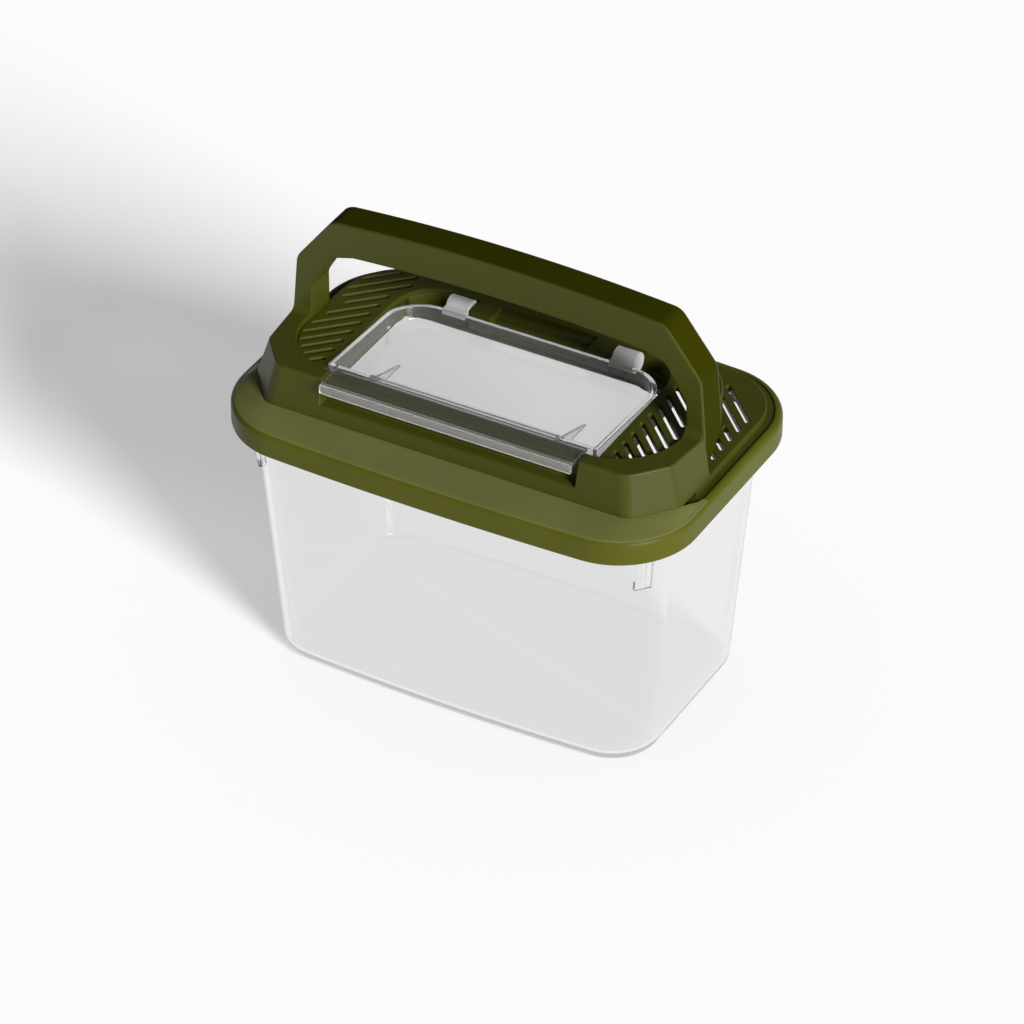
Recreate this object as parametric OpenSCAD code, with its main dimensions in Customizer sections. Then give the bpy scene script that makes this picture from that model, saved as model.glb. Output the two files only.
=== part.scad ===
// Small pet keeper: a clear drafted tank, an olive lid with vent slots, a raised
// front crown with a fixed carrying arch, and a clear feeding door on two clip hinges.
// Millimetres. The origin is under the middle of the tank, on the surface it stands on.
// +X is to the right, -Y is the front, +Z is up.

/* [Overall] */
// Length of the lid, left to right
lid_l = 150; // [144:1:170]
// Width of the lid, front to back, at its widest point
lid_w = 100; // [98:1:110]
// Height of the keeper to the top of the handle
total_h = 140; // [136:1:160]
// Outward bow of each long side
side_bow = 2.3; // [0.5:0.1:3]
// Radius of the lid's corners, seen from above
lid_r = 23.5; // [21:0.5:27]

/* [Tank] */
// Height of the tank, which is where the lid rests
tank_h = 87; // [80:1:100]
// How far the tank's wall lies inside the lid's edge, at the top
tank_inset = 6.4; // [5.8:0.1:7]
// How much the tank narrows on each side, from top to bottom
tank_draft = 6.3; // [3:0.1:8]
// How much the tank's corner radius shrinks, from top to bottom
tank_r_drop = 2.9; // [1:0.1:5]
// Thickness of the tank's wall and floor
tank_wall = 1.8; // [1.4:0.1:2.4]
// Rounding of the edge round the tank's base
tank_base_r = 3.5; // [2:0.5:5]
// Height of the thick rim that the lid covers
rim_h = 3; // [2:0.5:5]
// Clearance between the rim and the lid's skirt
rim_gap = 0.4; // [0.2:0.1:0.8]
// How far the four corner lugs hang down from the rim
lug_drop = 17; // [8:1:22]
// Width of a corner lug
lug_w = 5.5; // [3:0.5:8]
// How far a corner lug stands out from the tank's wall
lug_out = 2.4; // [1:0.2:3]

/* [Lid] */
// Height of the lid's vertical skirt
skirt_h = 8; // [6:0.5:10]
// How far the skirt reaches above the tank's rim
skirt_over = 2.6; // [2.2:0.1:3.4]
// Thickness of the skirt
skirt_wall = 2.2; // [1.8:0.1:2.8]
// Rounding of the skirt's top edge
skirt_edge_r = 1.5; // [0.8:0.1:2]
// How far the deck's edge lies inside the lid's edge
deck_inset = 4.7; // [4:0.1:6]
// Height of the deck above the trench round it
deck_rise = 2.5; // [1.5:0.1:3.5]
// Depth of the trench below the skirt's top
trench_d = 0.8; // [0.4:0.1:1.2]
// Thickness of the lid's plates
plate_t = 1.8; // [1.4:0.1:2.4]
// Where the sloping front shoulder ends and the trench begins
shoulder_y = -18; // [-22:1:-14]

/* [Plateau] */
// Distance from the lid's end to the plateau
plateau_inset = 13; // [11:0.5:15]
// Front of the plateau
plateau_front = -29; // [-30:0.5:-28]
// Back of the plateau
plateau_back = 32; // [31:0.5:35]
// Radius of the plateau's corners
plateau_r = 20; // [16:1:24]
// Height of the plateau above the deck
plateau_rise = 10.7; // [9:0.1:13]
// Pitch of the vent slots, along the lid's length
slot_pitch = 5.25; // [4.5:0.05:7]
// Width of a vent slot
slot_w = 1.5; // [1:0.1:2]

/* [Crown] */
// Height of the crown above the plateau
crown_rise = 1.5; // [1:0.1:2.5]
// Distance from the lid's end to the crown's front edge
crown_corner_inset = 17.6; // [16:0.2:20]
// Front edge of the crown's top
crown_front_y = -33.6; // [-35:0.1:-32.5]
// Distance from the lid's end to the back end of the crown's chamfer
crown_side_inset = 8.6; // [7.5:0.1:10]
// Back end of the crown's front chamfer, front to back
crown_side_y = -22.9; // [-26:0.1:-20]
// Distance from the lid's end to the crown's top at the handle
crown_end_inset = 6.9; // [5.5:0.1:7.5]
// How far the crown's front wall leans out towards its foot
front_lean = 3.5; // [2:0.1:4]
// How far the crown's side walls lean out towards their foot
side_lean = 2; // [1:0.1:2.2]
// Thickness of the crown's wall
crown_wall = 2.2; // [1.6:0.1:3]
// Distance from the door's end to the end of the finger notch
notch_inset = 2.4; // [0.4:0.1:6]
// Width of the bar between the finger notch and the plateau
crown_bar = 3; // [2:0.2:3.4]
// Depth of the finger notch
notch_drop = 8; // [6:0.5:9]

/* [Handle] */
// Front face of the handle
handle_front = -6.4; // [-8:0.2:-5]
// Depth of the handle, front to back
handle_d = 10.8; // [9:0.2:12]
// Height of the handle's beam
beam_h = 10.4; // [8:0.2:12]
// Upward bow of the beam
beam_bow = 1.8; // [0:0.1:3]
// Distance from the lid's end to the end of the beam's top
beam_inset = 20.4; // [18:0.2:25]
// Drop of the chamfer at each end of the beam
chamfer_drop = 15.5; // [10:0.5:18]
// Thickness of a leg
leg_t = 6.3; // [5:0.1:8]

/* [Door] */
// Distance from the lid's end to the door
door_inset = 30.6; // [30.5:0.1:32]
// Front edge of the door
door_front = -35.6; // [-36:0.1:-35]
// Back edge of the door
door_back = 18.5; // [17.5:0.1:18.8]
// Radius of the door's back corners
door_r = 12; // [8:0.5:14]
// Depth of the door's dished tray
door_depth = 8; // [6:0.5:9]
// Thickness of the door's plastic
door_t = 1.4; // [1.2:0.1:1.8]
// Gap round the door
door_gap = 0.7; // [0.5:0.1:1]
// How far the door stands above the crown
flange_gap = 0.1; // [0:0.05:0.3]
// Height of the pull lip at the door's front
lip_h = 3.2; // [2.5:0.1:4]

/* [Hinge] */
// Hinge axis, front to back
hinge_y = 22.6; // [22.4:0.1:23]
// Hinge axis below the plateau's top
hinge_drop = 2; // [1.8:0.1:2.4]
// Radius of the hinge pins
pin_r = 1.25; // [1:0.05:1.4]
// Running clearance of the clips on the pins
pin_gap = 0.06; // [0.03:0.01:0.1]
// Wall of the hinge clips
clip_wall = 1.5; // [1.2:0.1:1.7]
// Distance from the door's end to the inner end of a hinge clip
clip_inset = 20.4; // [20:0.1:22]
// Length of a hinge clip
clip_l = 7.5; // [5:0.5:8]
// Length of a hinge lug
hinge_lug_l = 8; // [5:0.5:9]

/* [Hidden] */

$fn = 48;

// One overrun serves every cut
cut = 1;
// Points along a quarter corner and along a bowed side
corner_n = 8;
side_n = 6;

// Thickness of the flat sheets between which sloped blocks are stretched
sheet = 0.01;
// Share of a lean or a wall that a chamfered corner takes along the other axis
corner_share = 0.7;
// Extra lean at the back end of the crown's chamfer
corner_lean = 1.9;

olive = [0.34, 0.35, 0.13];
clear = [0.86, 0.90, 0.92, 0.45];

// Heights, from the ground up
skirt_top = tank_h + skirt_over;
skirt_bottom = skirt_top - skirt_h;
trench_z = skirt_top - trench_d;
deck_z = trench_z + deck_rise;
plateau_z = deck_z + plateau_rise;
crown_z = plateau_z + crown_rise;
hinge_z = plateau_z - hinge_drop;
door_z = crown_z + flange_gap;
tray_z = door_z - door_depth;

// Half sizes of the lid's outline, without its bow
lid_a = lid_l / 2;
lid_b = lid_w / 2 - side_bow;

// Half lengths, from the middle to the right
plateau_x = lid_a - plateau_inset;
crown_corner_x = lid_a - crown_corner_inset;
crown_side_x = lid_a - crown_side_inset;
crown_end_x = lid_a - crown_end_inset;
beam_x = lid_a - beam_inset;
door_x = lid_a - door_inset;
notch_x = door_x - notch_inset;
clip_x = door_x - clip_inset;

// A rounded rectangle's points, counter-clockwise, with its long sides bowed outward
function corner(cx, cy, r, start) =
    [for (i = [0:corner_n]) let (t = start + 90 * i / corner_n) [cx + r * cos(t), cy + r * sin(t)]];
function between(p, q) = [for (i = [1:side_n - 1]) p + (q - p) * i / side_n];
function rounded(a, b, r) = concat(
    corner(a - r, b - r, r, 0),
    between([a - r, b], [r - a, b]),
    corner(r - a, b - r, r, 90),
    corner(r - a, r - b, r, 180),
    between([r - a, -b], [a - r, -b]),
    corner(a - r, r - b, r, 270));
function bowed(a, b, r, bow) =
    [for (p = rounded(a, b, r)) [p[0], p[1] + sign(p[1]) * bow * (1 - pow(p[0] / a, 2))]];

// The lid's outline moved in by d, as a ring of points at height z
function lid_plan(d) = bowed(lid_a - d, lid_b - d, lid_r - d, side_bow);
function lid_ring(d, z) = [for (p = lid_plan(d)) [p[0], p[1], z]];

// The tank's wall at height z, moved in by d
function tank_plan(d, z) =
    let (low = 1 - z / tank_h, in = tank_inset + tank_draft * low + d)
    bowed(lid_a - in, lid_b - in, lid_r - tank_inset - tank_r_drop * low - d, side_bow);
function tank_ring(d, z) = [for (p = tank_plan(d, z)) [p[0], p[1], z]];

// Skin over a stack of rings, closed by flat ends
module loft(rings) {
    n = len(rings[0]);
    m = len(rings);
    sides = [for (k = [0:m - 2]) for (i = [0:n - 1]) for (t = [0:1])
        let (j = (i + 1) % n)
        t == 0 ? [k * n + i, (k + 1) * n + i, (k + 1) * n + j]
            : [k * n + i, (k + 1) * n + j, k * n + j]];
    ends = [[for (i = [0:n - 1]) i], [for (i = [n - 1:-1:0]) (m - 1) * n + i]];
    polyhedron(points = [for (r = rings) for (p = r) p], faces = concat(sides, ends));
}

// Skin over a loop of rings, which closes on itself
module ring_loft(rings) {
    n = len(rings[0]);
    m = len(rings);
    polyhedron(points = [for (r = rings) for (p = r) p],
        faces = [for (k = [0:m - 1]) for (i = [0:n - 1]) for (t = [0:1])
            let (j = (i + 1) % n, u = (k + 1) % m)
            t == 0 ? [k * n + i, u * n + i, u * n + j] : [k * n + i, u * n + j, k * n + j]]);
}

// A block between two corners
module block(x0, x1, y0, y1, z0, z1) {
    translate([x0, y0, z0]) cube([x1 - x0, y1 - y0, z1 - z0]);
}

module mirrored() {
    children();
    mirror([1, 0, 0]) children();
}

// Tank
rim_inset = skirt_wall + rim_gap;
rim_z = tank_h - rim_h;
rim_slope = 1.5;
floor_r = tank_base_r - tank_wall / 2;
// Direction in which a corner lug stands out from the lid corner's centre
lug_angle = 40;

module tank_lug() {
    z0 = rim_z - lug_drop;
    reach = lid_r - tank_inset + lug_out;
    translate([lid_a - lid_r, lid_b - lid_r, z0]) rotate([0, 0, lug_angle])
        translate([lid_r / 2, -lug_w / 2, 0]) cube([reach - lid_r / 2, lug_w, lug_drop + rim_h / 2]);
}

module tank() color(clear) difference() {
    union() {
        loft([
            tank_ring(tank_base_r, 0),
            tank_ring(tank_base_r * (1 - sin(30)), tank_base_r * (1 - cos(30))),
            tank_ring(tank_base_r * (1 - sin(60)), tank_base_r * (1 - cos(60))),
            tank_ring(0, tank_base_r),
            tank_ring(0, rim_z - rim_slope),
            lid_ring(rim_inset, rim_z),
            lid_ring(rim_inset, tank_h)]);
        mirrored() {
            tank_lug();
            mirror([0, 1, 0]) tank_lug();
        }
    }
    loft([
        tank_ring(tank_wall + floor_r, tank_wall),
        tank_ring(tank_wall + floor_r * (1 - sin(45)), tank_wall + floor_r * (1 - cos(45))),
        tank_ring(tank_wall, tank_wall + floor_r),
        tank_ring(tank_wall, tank_h + cut)]);
}

// Lid
module lid_skirt() color(olive)
    ring_loft([
        lid_ring(0, skirt_bottom),
        lid_ring(0, skirt_top - skirt_edge_r),
        lid_ring(skirt_edge_r * (1 - cos(30)), skirt_top - skirt_edge_r * (1 - sin(30))),
        lid_ring(skirt_edge_r * (1 - cos(60)), skirt_top - skirt_edge_r * (1 - sin(60))),
        lid_ring(skirt_edge_r, skirt_top),
        lid_ring(skirt_wall, skirt_top),
        lid_ring(skirt_wall, skirt_bottom)]);

// The plateau's outline, as a flat shape moved out by d
module plateau_plan(d = 0) {
    r = plateau_r + d;
    x = plateau_x - plateau_r;
    y0 = plateau_front + plateau_r;
    y1 = plateau_back - plateau_r;
    mirrored() {
        translate([x, y0]) circle(r);
        translate([x, y1]) circle(r);
    }
    translate([-x - r, y0]) square([2 * (x + r), y1 - y0]);
    translate([-x, y0 - r]) square([2 * x, y1 - y0 + 2 * r]);
}

// Opening for the door, which widens at the back to take the hinge
pocket_x = door_x + door_gap;
hinge_room = 1;
pocket_back = hinge_y + pin_r + clip_wall + hinge_room;
pocket_r = door_r + door_gap + hinge_room;

module pocket_plan(d = 0) {
    x = pocket_x - pocket_r;
    y = pocket_back - pocket_r;
    mirrored() translate([x, y]) circle(pocket_r + d);
    translate([-x, y]) square([2 * x, pocket_r + d]);
    translate([-pocket_x - d, plateau_front + plate_t])
        square([2 * (pocket_x + d), y - plateau_front - plate_t]);
}

// Vent slots run at 45 degrees, on lines where x + y is the offset plus whole pitches
slot_offset = pocket_x + slot_w;
low_slot_shift = 1.2;
low_slot_offset = slot_offset + low_slot_shift;
slot_edge = 1.7;
slot_back_edge = 5;
slot_outer_x = plateau_x - slot_edge - slot_w / 4;
slot_band = 3.2;
slot_back_y = plateau_back - slot_back_edge;
slot_min = 2;
low_slot_edge = 2.6;
low_slot_gap = 0.4;
low_slot_in = 8;
low_slot_x = plateau_x - low_slot_in;

// Where a line with x + y = c meets a circle: the middle of the chord, and half of it
function chord_mid(c, cx, cy) = cx + (c - cx - cy) / 2;
function chord_half(c, cx, cy, r) = sqrt(max(0, 2 * r * r - pow(c - cx - cy, 2))) / 2;

module slot_cut(c, x0, x1, z0, z1) {
    if (x1 - x0 > slot_min)
        translate([0, 0, z0]) linear_extrude(z1 - z0) {
            translate([x0, c - x0]) circle(slot_w / 2, $fn = 16);
            translate([x1, c - x1]) circle(slot_w / 2, $fn = 16);
            translate([x0, c - x0]) rotate(-45)
                translate([0, -slot_w / 2]) square([(x1 - x0) * sqrt(2), slot_w]);
        }
}

module upper_slots() {
    cx = plateau_x - plateau_r;
    front_y = plateau_front + plateau_r;
    back_y = plateau_back - plateau_r;
    r = plateau_r - slot_edge;
    arc_x = pocket_x - pocket_r;
    arc_y = pocket_back - pocket_r;
    arc_r = pocket_r + slot_band;
    for (k = [-4:6]) {
        c = slot_offset + k * slot_pitch;
        front_end = chord_mid(c, cx, front_y) + chord_half(c, cx, front_y, r);
        back_end = chord_mid(c, cx, back_y) + chord_half(c, cx, back_y, r);
        x1 = min(slot_outer_x, front_end, c - slot_outer_x > back_y ? back_end : slot_outer_x);
        in_x = pocket_x + slot_band;
        in_arc = chord_mid(c, arc_x, arc_y) + chord_half(c, arc_x, arc_y, arc_r);
        x0 = max(c - slot_back_y, c - in_x > arc_y ? min(in_x, in_arc) : in_x);
        slot_cut(c, x0, x1, plateau_z - plate_t - cut, plateau_z + cut);
    }
}

module lower_slots() {
    cx = plateau_x - plateau_r;
    back_y = plateau_back - plateau_r;
    side_x = plateau_x + slot_w / 2 + low_slot_gap;
    x1 = lid_a - deck_inset - low_slot_edge - slot_w / 2;
    for (k = [4:8]) {
        c = low_slot_offset + k * slot_pitch;
        half = chord_half(c, cx, back_y, side_x - cx);
        arc_x = half > 0 ? chord_mid(c, cx, back_y) + half : low_slot_x;
        slot_cut(c, c - side_x < back_y ? side_x : arc_x, x1, tank_h - cut, deck_z + cut);
    }
}

deck_hollow = 2;
deck_edge_r = 0.6;

module lid_deck() color(olive) difference() {
    union() {
        intersection() {
            loft([lid_ring(skirt_wall, tank_h), lid_ring(skirt_wall, trench_z),
                lid_ring(deck_inset, trench_z), lid_ring(deck_inset, deck_z - deck_edge_r),
                lid_ring(deck_inset + deck_edge_r, deck_z)]);
            block(-lid_a, lid_a, shoulder_y, lid_w, 0, total_h);
        }
        intersection() {
            hull() {
                translate([0, 0, tank_h]) linear_extrude(skirt_over) polygon(lid_plan(skirt_wall));
                translate([0, 0, tank_h]) linear_extrude(deck_z - tank_h) crown_foot();
            }
            block(-lid_a, lid_a, -lid_w, shoulder_y, 0, total_h);
        }
    }
    intersection() {
        translate([0, 0, -cut]) loft([lid_ring(deck_inset + deck_hollow, tank_h),
            lid_ring(deck_inset + deck_hollow, deck_z - plate_t + cut)]);
        block(-lid_a, lid_a, shoulder_y + deck_hollow, lid_w, 0, total_h);
    }
    translate([0, 0, tank_h - cut]) linear_extrude(deck_z - tank_h + 2 * cut) plateau_plan();
    mirrored() lower_slots();
}

module plateau_wall() color(olive)
    translate([0, 0, deck_z - plate_t]) linear_extrude(plateau_z - deck_z) difference() {
        plateau_plan();
        plateau_plan(-plate_t);
    }

module grille_plate() color(olive) difference() {
    translate([0, 0, plateau_z - plate_t]) linear_extrude(plate_t) difference() {
        plateau_plan();
        pocket_plan();
    }
    mirrored() upper_slots();
}

// Crown: a hollow cover round the front half of the plateau
crown_end_y = handle_front;
notch_back = plateau_front - crown_bar;

module crown_plan(corner_x, front_y, side_x, side_y, end_x) polygon([
    [-end_x, crown_end_y], [-side_x, side_y], [-corner_x, front_y],
    [corner_x, front_y], [side_x, side_y], [end_x, crown_end_y]]);

module crown_foot(d = 0) crown_plan(
    crown_corner_x + front_lean * corner_share - d * corner_share, crown_front_y - front_lean + d,
    crown_side_x + side_lean + corner_lean - d, crown_side_y - side_lean + d * corner_share,
    crown_end_x + side_lean - d);

module crown_top(d = 0) crown_plan(
    crown_corner_x - d * corner_share, crown_front_y + d,
    crown_side_x - d, crown_side_y + d * corner_share, crown_end_x - d);

module crown() color(olive) difference() {
    hull() {
        translate([0, 0, deck_z]) linear_extrude(sheet) crown_foot();
        translate([0, 0, crown_z - sheet]) linear_extrude(sheet) crown_top();
    }
    difference() {
        hull() {
            translate([0, 0, deck_z - cut]) linear_extrude(sheet) crown_foot(crown_wall);
            translate([0, 0, crown_z - crown_wall]) linear_extrude(sheet) crown_top(crown_wall);
        }
        block(-lid_a, lid_a, crown_end_y - crown_wall, lid_w, 0, total_h);
        block(-notch_x - crown_wall, notch_x + crown_wall, -lid_w, lid_w,
            crown_z - notch_drop - crown_wall, total_h);
    }
    translate([0, 0, deck_z - cut]) linear_extrude(total_h) plateau_plan();
    block(-notch_x, notch_x, -lid_w, notch_back, crown_z - notch_drop, total_h);
    block(-notch_x, notch_x, -lid_w, lid_w, plateau_z, total_h);
}

// Handle: a flat arch with chamfered shoulders, standing on the plateau and the crown's ends
leg_lean = 1.5;
leg_top_z = total_h - beam_bow - chamfer_drop;
leg_outer_top = crown_end_x - leg_lean;
inner_chamfer_x = 7;
inner_chamfer_share = 0.545;
inner_round_x = 14.5;
inner_round_share = 0.085;
leg_foot_z = deck_z;
foot_taper = 9.5;
arc_n = 12;

function bow_z(x) = beam_bow * (1 - pow(x / beam_x, 2));
handle_z = total_h - beam_bow;
function arch_top() =
    [for (i = [0:arc_n]) let (x = beam_x * (1 - 2 * i / arc_n)) [x, handle_z + bow_z(x)]];
inner_x = crown_end_x - leg_t;
inner_top_x = inner_x - inner_round_x;
beam_under = handle_z - beam_h;
gap_h = beam_under - plateau_z;
inner_chamfer_z = gap_h * inner_chamfer_share;
inner_round_z = gap_h * inner_round_share;
function arch_under() = [for (i = [0:arc_n])
    let (x = inner_top_x * (2 * i / arc_n - 1)) [x, beam_under + bow_z(x) - bow_z(inner_top_x)]];

module handle() color(olive) difference() {
    translate([0, handle_front + handle_d, 0]) rotate([90, 0, 0]) linear_extrude(handle_d)
        polygon(concat(
            [[crown_end_x, crown_z], [leg_outer_top, leg_top_z]],
            arch_top(),
            [[-leg_outer_top, leg_top_z], [-crown_end_x, crown_z], [-crown_end_x, leg_foot_z],
                [-plateau_x, leg_foot_z], [-plateau_x, plateau_z], [-inner_x, plateau_z],
                [-inner_x, beam_under - inner_chamfer_z],
                [inner_chamfer_x - inner_x, beam_under - inner_round_z]],
            arch_under(),
            [[inner_x - inner_chamfer_x, beam_under - inner_round_z],
                [inner_x, beam_under - inner_chamfer_z], [inner_x, plateau_z], [plateau_x, plateau_z],
                [plateau_x, leg_foot_z], [crown_end_x, leg_foot_z]]));
    mirrored() foot_cut();
}

// The back of each leg slopes forward below the plateau's top
module foot_cut()
    translate([plateau_x - leg_t, 0, 0]) rotate([90, 0, 90]) linear_extrude(lid_a)
        polygon([[handle_front + handle_d + cut, plateau_z + cut],
            [handle_front + handle_d, plateau_z],
            [handle_front + handle_d - foot_taper, leg_foot_z - cut],
            [handle_front + handle_d + cut, leg_foot_z - cut]]);

// Hinge shelf behind the door, with its lugs, pins and stepped bar
shelf_z = tray_z;
shelf_front = door_back + door_gap;

module hinge_shelf() color(olive) {
    translate([0, 0, shelf_z - plate_t]) linear_extrude(plate_t) intersection() {
        pocket_plan(plate_t);
        translate([-pocket_x - cut, shelf_front]) square([2 * (pocket_x + cut), plateau_back]);
    }
    translate([0, 0, shelf_z]) linear_extrude(plateau_z - plate_t - shelf_z) intersection() {
        difference() {
            pocket_plan(plate_t);
            pocket_plan();
        }
        translate([-pocket_x - plate_t, shelf_front]) square([2 * (pocket_x + plate_t), plateau_back]);
    }
}

hinge_side_gap = 0.3;
lug_inner_x = clip_x - hinge_side_gap - hinge_lug_l;
hinge_lug_y = shelf_front + hinge_side_gap;

module hinge_lug() {
    block(lug_inner_x, lug_inner_x + hinge_lug_l, hinge_lug_y, pocket_back, shelf_z, plateau_z);
}

module hinge_lug_left() color(olive) mirror([1, 0, 0]) hinge_lug();
module hinge_lug_right() color(olive) hinge_lug();

pin_l = clip_l + hinge_side_gap;
module hinge_pin()
    translate([lug_inner_x + hinge_lug_l, hinge_y, hinge_z]) rotate([0, 90, 0])
        cylinder(r = pin_r, h = pin_l);
module hinge_pin_left() color(olive) mirror([1, 0, 0]) hinge_pin();
module hinge_pin_right() color(olive) hinge_pin();

bar_step = 2;
module hinge_bar() color(olive) {
    block(-lug_inner_x, lug_inner_x, hinge_lug_y + bar_step, pocket_back, shelf_z, plateau_z - bar_step);
    block(-lug_inner_x, lug_inner_x, hinge_y + bar_step / 2, pocket_back,
        plateau_z - bar_step, plateau_z - bar_step / 2);
}

// Door: a dished clear tray with a front flange and a pull lip
tray_front = plateau_front + plate_t + door_gap;

module door_plan(d, front) {
    x = door_x - door_r;
    y = door_back - door_r;
    mirrored() translate([x, y]) circle(door_r - d);
    translate([-x, y]) square([2 * x, door_r - d]);
    translate([-door_x + d, front + d]) square([2 * (door_x - d), y - front - d]);
}

module door_tray() color(clear) {
    difference() {
        translate([0, 0, tray_z]) linear_extrude(door_depth) door_plan(0, tray_front);
        translate([0, 0, tray_z + door_t]) linear_extrude(door_depth) door_plan(door_t, tray_front);
    }
    difference() {
        block(-notch_x + door_gap, notch_x - door_gap, door_front, tray_front, door_z - door_t, door_z);
        block(-door_x, door_x, tray_front, door_back, 0, total_h);
    }
}

module door_lip() color(clear)
    block(-notch_x + door_gap, notch_x - door_gap, door_front - door_t, door_front, door_z - lip_h, door_z);

rib_inset = 14.1;
rib_x = door_x - rib_inset;
rib_t = 0.9;
rib_l = 13;
module door_ribs() color(clear) mirrored()
    translate([rib_x, 0, 0]) rotate([90, 0, 90]) linear_extrude(rib_t)
        polygon([[tray_front + door_t, tray_z + door_t], [tray_front + door_t + rib_l, tray_z + door_t],
            [tray_front + door_t, door_z - door_t]]);

// A clip hinge: a sleeve on the pin, open below, with an arm to the tray's back edge
clip_r = pin_r + pin_gap + clip_wall;
mouth_share = 0.8;
module door_clip() {
    difference() {
        union() {
            translate([clip_x, hinge_y, hinge_z]) rotate([0, 90, 0]) cylinder(r = clip_r, h = clip_l);
            block(clip_x, clip_x + clip_l, door_back, hinge_y, hinge_z + pin_r, door_z);
        }
        translate([clip_x - cut, hinge_y, hinge_z]) rotate([0, 90, 0])
            cylinder(r = pin_r + pin_gap, h = clip_l + 2 * cut);
        block(clip_x - cut, clip_x + clip_l + cut, hinge_y - pin_r * mouth_share,
            hinge_y + pin_r * mouth_share, hinge_z - clip_r - cut, hinge_z);
        block(clip_x - cut, clip_x + clip_l + cut, 0, door_back, 0, total_h);
    }
}
module door_clip_left() color(clear) mirror([1, 0, 0]) door_clip();
module door_clip_right() color(clear) door_clip();

tank();
lid_skirt();
lid_deck();
plateau_wall();
grille_plate();
crown();
handle();
hinge_shelf();
hinge_bar();
hinge_lug_left();
hinge_lug_right();
hinge_pin_left();
hinge_pin_right();
door_tray();
door_lip();
door_ribs();
door_clip_left();
door_clip_right();
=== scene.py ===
"""Looks of a small clear pet keeper with an olive lid, a fixed carrying arch and a clear door.

Sizes are in millimetres and turn into metres where a mesh is made.
The frame's own pieces give the heights; every piece rides on one of its bodies.
"""
import math

import bmesh
import bpy
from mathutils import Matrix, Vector
from mathutils.geometry import tessellate_polygon


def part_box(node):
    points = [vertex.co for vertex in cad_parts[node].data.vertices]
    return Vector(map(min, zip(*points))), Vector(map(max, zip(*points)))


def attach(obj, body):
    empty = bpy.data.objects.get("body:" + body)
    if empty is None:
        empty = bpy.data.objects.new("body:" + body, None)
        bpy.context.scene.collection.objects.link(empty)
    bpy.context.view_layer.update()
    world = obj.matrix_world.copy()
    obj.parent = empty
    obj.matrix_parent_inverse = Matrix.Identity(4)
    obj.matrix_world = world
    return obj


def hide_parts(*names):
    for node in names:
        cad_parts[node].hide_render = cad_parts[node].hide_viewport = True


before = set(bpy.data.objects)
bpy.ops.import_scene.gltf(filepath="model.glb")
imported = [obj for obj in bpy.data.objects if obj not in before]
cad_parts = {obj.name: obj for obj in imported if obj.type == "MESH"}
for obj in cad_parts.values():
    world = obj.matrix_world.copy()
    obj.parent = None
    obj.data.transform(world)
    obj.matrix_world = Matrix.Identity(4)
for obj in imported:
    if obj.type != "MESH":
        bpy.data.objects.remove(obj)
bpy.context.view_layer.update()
MM = 0.001


# Heights and sizes that come from the frame
def low_high(node):
    """The lowest and the highest corner of a node."""
    low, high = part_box(node)
    return low / MM, high / MM


skirt_low, skirt_high = low_high("lid_skirt")
deck_high = low_high("lid_deck")[1]
grille_low, grille_high = low_high("grille_plate")
crown_high = low_high("crown")[1]
handle_low, handle_high = low_high("handle")
tray_low, tray_high = low_high("door_tray")
tank_high = low_high("tank")[1]
shelf_low = low_high("hinge_shelf")[0]
lug_low, lug_high = low_high("hinge_lug_right")
bar_low, bar_high = low_high("hinge_bar")
pin_low, pin_high = low_high("hinge_pin_right")
clip_low, clip_high = low_high("door_clip_right")
lip_low, lip_high = low_high("door_lip")

LID_A = skirt_high.x
LID_B = skirt_high.y
SKIRT_TOP = skirt_high.z
SKIRT_BOTTOM = skirt_low.z
TANK_TOP = tank_high.z
DECK_Z = deck_high.z
PLATEAU_Z = grille_high.z
PLATEAU_X = grille_high.x
PLATEAU_FRONT = grille_low.y
PLATEAU_BACK = grille_high.y
PLATE_T = grille_high.z - grille_low.z
CROWN_Z = crown_high.z
HANDLE_TOP = handle_high.z
HANDLE_FRONT = handle_low.y
HANDLE_BACK = handle_high.y
HANDLE_X = handle_high.x
DOOR_Z = tray_high.z
TRAY_Z = tray_low.z
DOOR_FRONT = tray_low.y
DOOR_BACK = tray_high.y
DOOR_X = tray_high.x
PIN_Y = (pin_low.y + pin_high.y) / 2
PIN_Z = (pin_low.z + pin_high.z) / 2
PIN_R = (pin_high.z - pin_low.z) / 2

# Fineness of the outlines, in steps
CORNER_STEPS = 16
SHORT_SIDE_STEPS = 16
LONG_SIDE_STEPS = 24


# Flat outlines, mostly counter-clockwise
def arc(cx, cy, r, start, sweep, steps):
    turns = [math.radians(start + sweep * i / steps) for i in range(steps + 1)]
    return [(cx + r * math.cos(t), cy + r * math.sin(t)) for t in turns]


def circle(cx, cy, r, count=32):
    return arc(cx, cy, r, 0, 360 - 360 / count, count - 1)


def quarter(steps):
    """The angles of a quarter turn, in equal steps."""
    return [math.radians(90 * i / steps) for i in range(steps + 1)]


def along(p, q, steps):
    """The points between two points, in equal steps."""
    return [(p[0] + (q[0] - p[0]) * i / steps, p[1] + (q[1] - p[1]) * i / steps) for i in range(1, steps)]


def rounded_box(x0, x1, y0, y1, r, steps):
    return (arc(x1 - r, y1 - r, r, 0, 90, steps) + arc(x0 + r, y1 - r, r, 90, 90, steps)
            + arc(x0 + r, y0 + r, r, 180, 90, steps) + arc(x1 - r, y0 + r, r, 270, 90, steps))


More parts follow.
